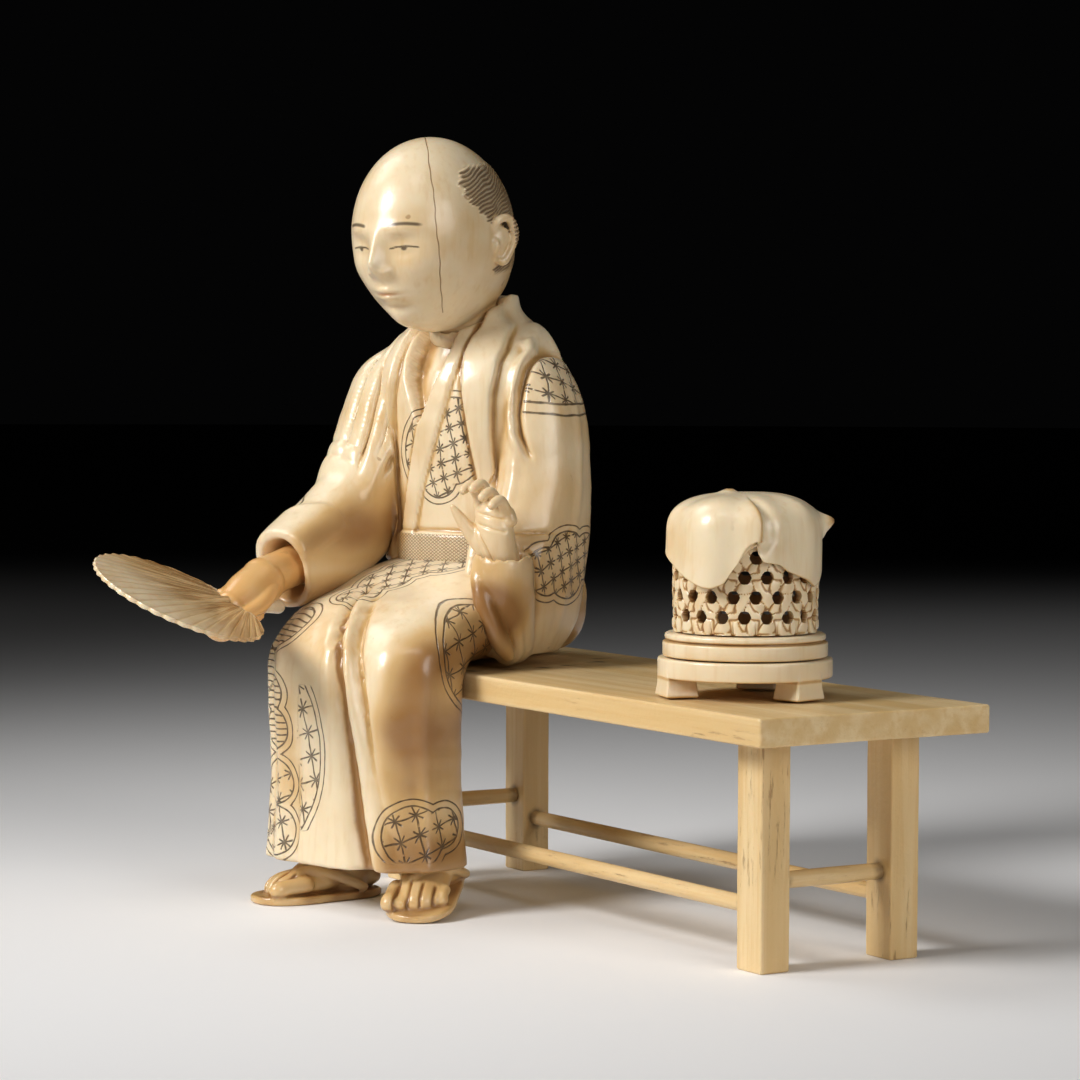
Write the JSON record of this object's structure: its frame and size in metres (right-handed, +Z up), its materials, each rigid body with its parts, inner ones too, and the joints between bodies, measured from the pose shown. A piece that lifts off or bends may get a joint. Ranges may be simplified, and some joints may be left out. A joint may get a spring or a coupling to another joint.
{
  "type": "okimono",
  "caption": "Carved ivory okimono: a seated man in a patterned robe and coat holds a fan, on a slim bench with a small openwork cage under a leaf cover.",
  "frame": {"origin": "on the floor under the middle of the bounding box", "axes": "+Z up, bench along X, the figure faces -Y turned 22 degrees toward +X"},
  "size_m": [0.1586, 0.1248, 0.1572],
  "materials": {
    "ivory": "carved ivory, satin polish, brown stain in the cuts",
    "stained_ivory": "ivory stained warm brown, satin polish",
    "bench_ivory": "ivory with lengthwise grain and pores, worn satin"
  },
  "bodies": {
    "root": {"head": "ivory", "torso": "ivory", "robe_skirt": "ivory", "left_hand": "ivory", "fan": "ivory", "cage_wall": "ivory", "cage_cover": "ivory", "cage_base": "ivory", "cage_stand": "ivory", "right_hand": "stained_ivory", "right_foot": "stained_ivory", "left_foot": "stained_ivory", "bench_top": "bench_ivory", "leg_front_left": "bench_ivory", "leg_front_right": "bench_ivory", "leg_back_left": "bench_ivory", "leg_back_right": "bench_ivory", "rung_front": "bench_ivory", "rung_back": "bench_ivory", "rung_left": "bench_ivory", "rung_right": "bench_ivory"}
  },
  "joints": []
}
